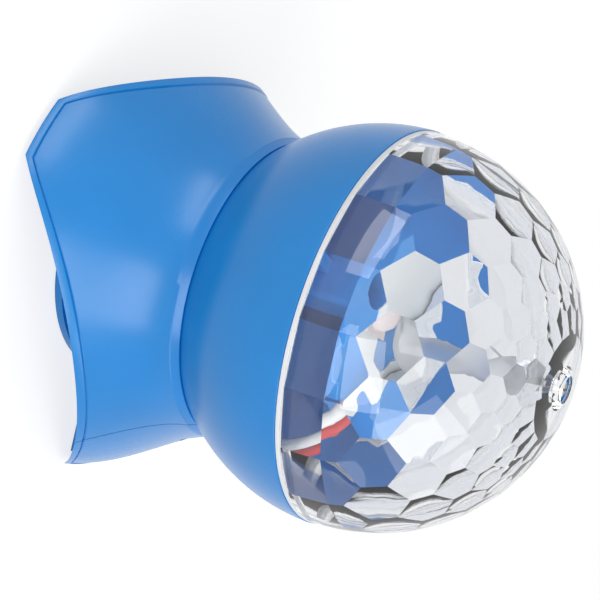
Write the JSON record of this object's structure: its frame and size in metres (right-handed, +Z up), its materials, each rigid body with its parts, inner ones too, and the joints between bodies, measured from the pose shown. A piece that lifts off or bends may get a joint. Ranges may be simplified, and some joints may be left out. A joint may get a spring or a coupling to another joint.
{
  "type": "star projector lamp",
  "caption": "Small ball lamp on a three-footed bell stand: a clear dome with flat inner facets turns over coloured lights in a blue bowl.",
  "frame": {"origin": "on the floor under the middle of the outline; the axis shared by ball and stand stands 4.8 mm from it along +Y", "axes": "+Z up along the axis that the dome turns on; the front foot points along -Y and the power button faces +Y"},
  "size_m": [0.114, 0.1108, 0.1252],
  "materials": {
    "blue_plastic": "moulded satin blue",
    "dark_rubber": "matt",
    "white_plastic": "moulded white",
    "clear_plastic": "clear, smooth outside and faceted inside",
    "plated_steel": "zinc plated",
    "bright_steel": "bright",
    "grey_plastic": "moulded grey",
    "green_board": "varnished circuit board",
    "white_board": "white varnished circuit board",
    "cell_wrap": "shrink-wrapped cell",
    "red_lead": "insulated wire",
    "black_lead": "insulated wire",
    "white_lead": "insulated wire",
    "red_emitter": "faintly tinted lens",
    "green_emitter": "faintly tinted lens",
    "blue_emitter": "faintly tinted lens"
  },
  "bodies": {
    "stand": {"stand_front_shell": "blue_plastic", "stand_rear_shell": "blue_plastic", "base_plate": "blue_plastic", "bowl": "blue_plastic", "foot_pad_30": "dark_rubber", "foot_pad_150": "dark_rubber", "foot_pad_270": "dark_rubber", "light_deck": "white_plastic", "gearbox": "white_plastic", "shell_screw_left": "plated_steel", "shell_screw_right": "plated_steel", "plate_screw_30": "plated_steel", "plate_screw_150": "plated_steel", "plate_screw_270": "plated_steel", "deck_screw_1": "plated_steel", "deck_screw_2": "plated_steel", "deck_screw_3": "plated_steel", "motor_screw_left": "plated_steel", "motor_screw_right": "plated_steel", "driver_screw_front": "plated_steel", "driver_screw_rear": "plated_steel", "plus_contact_1": "plated_steel", "plus_contact_2": "plated_steel", "plus_contact_3": "plated_steel", "minus_contact_1": "plated_steel", "minus_contact_2": "plated_steel", "minus_contact_3": "plated_steel", "motor": "bright_steel", "contact_spring_1": "bright_steel", "contact_spring_2": "bright_steel", "contact_spring_3": "bright_steel", "power_switch": "grey_plastic", "driver_board": "green_board", "light_board": "white_board", "cell_1": "cell_wrap", "cell_2": "cell_wrap", "cell_3": "cell_wrap", "supply_lead_red": "red_lead", "light_lead_red": "red_lead", "supply_lead_black": "black_lead", "light_lead_white": "white_lead", "red_emitter": "red_emitter", "green_emitter": "green_emitter", "blue_emitter": "blue_emitter"},
    "rotor": {"output_shaft": "bright_steel", "drive_post": "clear_plastic", "dome": "clear_plastic", "dome_screw": "plated_steel"},
    "door": {"battery_door": "blue_plastic"},
    "button": {"power_button": "white_plastic"}
  },
  "joints": [
    {"name": "dome_spin", "type": "hinge", "parent": "stand", "child": "rotor", "pos_m": [0, 0.00481, 0.07535], "axis": [0, 0, 1], "continuous": true},
    {"name": "door_hinge", "type": "hinge", "parent": "stand", "child": "door", "pos_m": [0, -0.01204, 0.0008], "axis": [-1, 0, 0], "range_deg": [0, 95]},
    {"name": "button_press", "type": "slide", "parent": "stand", "child": "button", "axis": [0, -0.8697, -0.4936], "range_m": [0, 0.001], "stiffness_N_per_m": 300, "springref_m": -0.0005}
  ]
}
